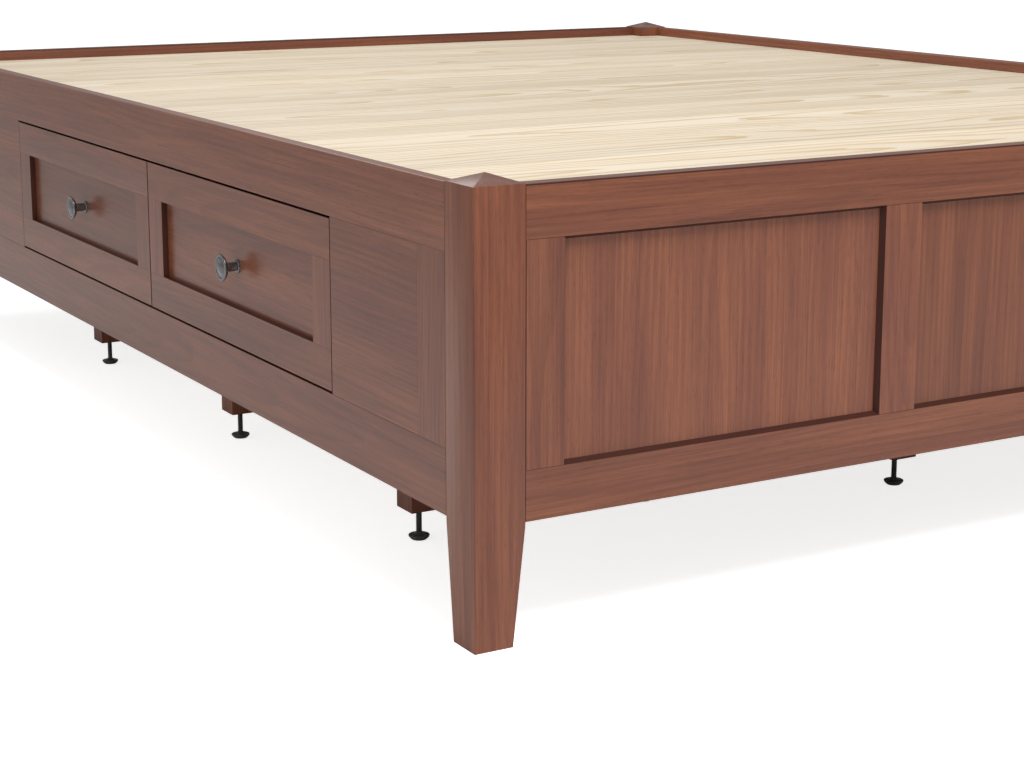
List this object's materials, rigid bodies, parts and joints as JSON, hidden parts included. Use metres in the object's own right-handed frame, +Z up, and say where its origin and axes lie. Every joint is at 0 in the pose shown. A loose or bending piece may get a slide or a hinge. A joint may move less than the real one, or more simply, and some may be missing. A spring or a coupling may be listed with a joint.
{
  "type": "platform storage bed",
  "caption": "Platform bed in stained hardwood with panelled ends, a solid board deck, drawers in the side frames and levelling feet under the storage cases.",
  "frame": {"origin": "on the floor under the middle of the bed", "axes": "+X to the right across the bed seen from the foot end, +Y from the foot end to the head end, +Z up"},
  "size_m": [1.6888, 2.1336, 0.5185],
  "materials": {
    "stained_wood": "red-brown stain under a satin clear coat",
    "deck_wood": "pale softwood, smooth and unstained",
    "plain_wood": "plain birch and maple with a clear coat",
    "zinc_steel": "zinc plated",
    "dark_pewter": "dark pewter plating, satin",
    "black_nylon": "black, smooth"
  },
  "bodies": {
    "frame": {"post_foot_left": "stained_wood", "post_foot_right": "stained_wood", "foot_top_rail": "stained_wood", "foot_bottom_rail": "stained_wood", "foot_stiles": "stained_wood", "foot_panels": "stained_wood", "post_head_left": "stained_wood", "post_head_right": "stained_wood", "head_top_rail": "stained_wood", "head_bottom_rail": "stained_wood", "head_stiles": "stained_wood", "head_panels": "stained_wood", "left_top_rail": "stained_wood", "left_bottom_rail": "stained_wood", "right_top_rail": "stained_wood", "right_bottom_rail": "stained_wood", "side_stiles": "stained_wood", "side_filler_panels": "stained_wood", "deck_boards": "deck_wood", "deck_bearers": "plain_wood", "drawer_cases": "plain_wood", "support_legs": "stained_wood", "leveler_nuts": "zinc_steel", "slide_channels": "zinc_steel", "corner_brackets": "zinc_steel", "bracket_screws": "zinc_steel"},
    "leveler_left_outer_foot": {"leveler_left_outer_foot": "black_nylon"},
    "leveler_left_outer_middle": {"leveler_left_outer_middle": "black_nylon"},
    "leveler_left_outer_head": {"leveler_left_outer_head": "black_nylon"},
    "leveler_left_inner_foot": {"leveler_left_inner_foot": "black_nylon"},
    "leveler_left_inner_middle": {"leveler_left_inner_middle": "black_nylon"},
    "leveler_left_inner_head": {"leveler_left_inner_head": "black_nylon"},
    "leveler_right_inner_foot": {"leveler_right_inner_foot": "black_nylon"},
    "leveler_right_inner_middle": {"leveler_right_inner_middle": "black_nylon"},
    "leveler_right_inner_head": {"leveler_right_inner_head": "black_nylon"},
    "leveler_right_outer_foot": {"leveler_right_outer_foot": "black_nylon"},
    "leveler_right_outer_middle": {"leveler_right_outer_middle": "black_nylon"},
    "leveler_right_outer_head": {"leveler_right_outer_head": "black_nylon"},
    "leveler_centre_foot": {"leveler_centre_foot": "black_nylon"},
    "leveler_centre_head": {"leveler_centre_head": "black_nylon"},
    "drawer_left_foot": {"drawer_front_left_foot": "stained_wood", "drawer_box_left_foot": "plain_wood", "knob_left_foot": "dark_pewter", "slide_inner_left_foot": "zinc_steel"},
    "slide_middle_left_foot": {"slide_middle_left_foot": "zinc_steel"},
    "drawer_left_head": {"drawer_front_left_head": "stained_wood", "drawer_box_left_head": "plain_wood", "knob_left_head": "dark_pewter", "slide_inner_left_head": "zinc_steel"},
    "slide_middle_left_head": {"slide_middle_left_head": "zinc_steel"},
    "drawer_right_foot": {"drawer_front_right_foot": "stained_wood", "drawer_box_right_foot": "plain_wood", "knob_right_foot": "dark_pewter", "slide_inner_right_foot": "zinc_steel"},
    "slide_middle_right_foot": {"slide_middle_right_foot": "zinc_steel"},
    "drawer_right_head": {"drawer_front_right_head": "stained_wood", "drawer_box_right_head": "plain_wood", "knob_right_head": "dark_pewter", "slide_inner_right_head": "zinc_steel"},
    "slide_middle_right_head": {"slide_middle_right_head": "zinc_steel"}
  },
  "joints": [
    {"name": "drawer_left_foot_slide", "type": "slide", "parent": "frame", "child": "drawer_left_foot", "axis": [-1, 0, 0], "range_m": [0, 0.5]},
    {"name": "slide_middle_left_foot_travel", "type": "slide", "parent": "frame", "child": "slide_middle_left_foot", "axis": [-1, 0, 0], "range_m": [0, 0.25]},
    {"name": "drawer_left_head_slide", "type": "slide", "parent": "frame", "child": "drawer_left_head", "axis": [-1, 0, 0], "range_m": [0, 0.5]},
    {"name": "slide_middle_left_head_travel", "type": "slide", "parent": "frame", "child": "slide_middle_left_head", "axis": [-1, 0, 0], "range_m": [0, 0.25]},
    {"name": "drawer_right_foot_slide", "type": "slide", "parent": "frame", "child": "drawer_right_foot", "axis": [1, 0, 0], "range_m": [0, 0.5]},
    {"name": "slide_middle_right_foot_travel", "type": "slide", "parent": "frame", "child": "slide_middle_right_foot", "axis": [1, 0, 0], "range_m": [0, 0.25]},
    {"name": "drawer_right_head_slide", "type": "slide", "parent": "frame", "child": "drawer_right_head", "axis": [1, 0, 0], "range_m": [0, 0.5]},
    {"name": "slide_middle_right_head_travel", "type": "slide", "parent": "frame", "child": "slide_middle_right_head", "axis": [1, 0, 0], "range_m": [0, 0.25]},
    {"name": "leveler_left_outer_foot_turn", "type": "hinge", "parent": "frame", "child": "leveler_left_outer_foot", "pos_m": [-0.6865, -0.6718, 0], "axis": [0, 0, 1], "continuous": true},
    {"name": "leveler_left_outer_middle_turn", "type": "hinge", "parent": "frame", "child": "leveler_left_outer_middle", "pos_m": [-0.6865, -0.0918, 0], "axis": [0, 0, 1], "continuous": true},
    {"name": "leveler_left_outer_head_turn", "type": "hinge", "parent": "frame", "child": "leveler_left_outer_head", "pos_m": [-0.6865, 0.4902, 0], "axis": [0, 0, 1], "continuous": true},
    {"name": "leveler_left_inner_foot_turn", "type": "hinge", "parent": "frame", "child": "leveler_left_inner_foot", "pos_m": [-0.3445, -0.6718, 0], "axis": [0, 0, 1], "continuous": true},
    {"name": "leveler_left_inner_middle_turn", "type": "hinge", "parent": "frame", "child": "leveler_left_inner_middle", "pos_m": [-0.3445, -0.0918, 0], "axis": [0, 0, 1], "continuous": true},
    {"name": "leveler_left_inner_head_turn", "type": "hinge", "parent": "frame", "child": "leveler_left_inner_head", "pos_m": [-0.3445, 0.4902, 0], "axis": [0, 0, 1], "continuous": true},
    {"name": "leveler_right_inner_foot_turn", "type": "hinge", "parent": "frame", "child": "leveler_right_inner_foot", "pos_m": [0.3445, -0.6718, 0], "axis": [0, 0, 1], "continuous": true},
    {"name": "leveler_right_inner_middle_turn", "type": "hinge", "parent": "frame", "child": "leveler_right_inner_middle", "pos_m": [0.3445, -0.0918, 0], "axis": [0, 0, 1], "continuous": true},
    {"name": "leveler_right_inner_head_turn", "type": "hinge", "parent": "frame", "child": "leveler_right_inner_head", "pos_m": [0.3445, 0.4902, 0], "axis": [0, 0, 1], "continuous": true},
    {"name": "leveler_right_outer_foot_turn", "type": "hinge", "parent": "frame", "child": "leveler_right_outer_foot", "pos_m": [0.6865, -0.6718, 0], "axis": [0, 0, 1], "continuous": true},
    {"name": "leveler_right_outer_middle_turn", "type": "hinge", "parent": "frame", "child": "leveler_right_outer_middle", "pos_m": [0.6865, -0.0918, 0], "axis": [0, 0, 1], "continuous": true},
    {"name": "leveler_right_outer_head_turn", "type": "hinge", "parent": "frame", "child": "leveler_right_outer_head", "pos_m": [0.6865, 0.4902, 0], "axis": [0, 0, 1], "continuous": true},
    {"name": "leveler_centre_foot_turn", "type": "hinge", "parent": "frame", "child": "leveler_centre_foot", "pos_m": [0, -0.7818, 0], "axis": [0, 0, 1], "continuous": true},
    {"name": "leveler_centre_head_turn", "type": "hinge", "parent": "frame", "child": "leveler_centre_head", "pos_m": [0, 0.7818, 0], "axis": [0, 0, 1], "continuous": true}
  ],
  "couplings": [
    {"joint": "slide_middle_left_foot_travel", "follows": "drawer_left_foot_slide", "ratio": 0.5},
    {"joint": "slide_middle_left_head_travel", "follows": "drawer_left_head_slide", "ratio": 0.5},
    {"joint": "slide_middle_right_foot_travel", "follows": "drawer_right_foot_slide", "ratio": 0.5},
    {"joint": "slide_middle_right_head_travel", "follows": "drawer_right_head_slide", "ratio": 0.5}
  ]
}
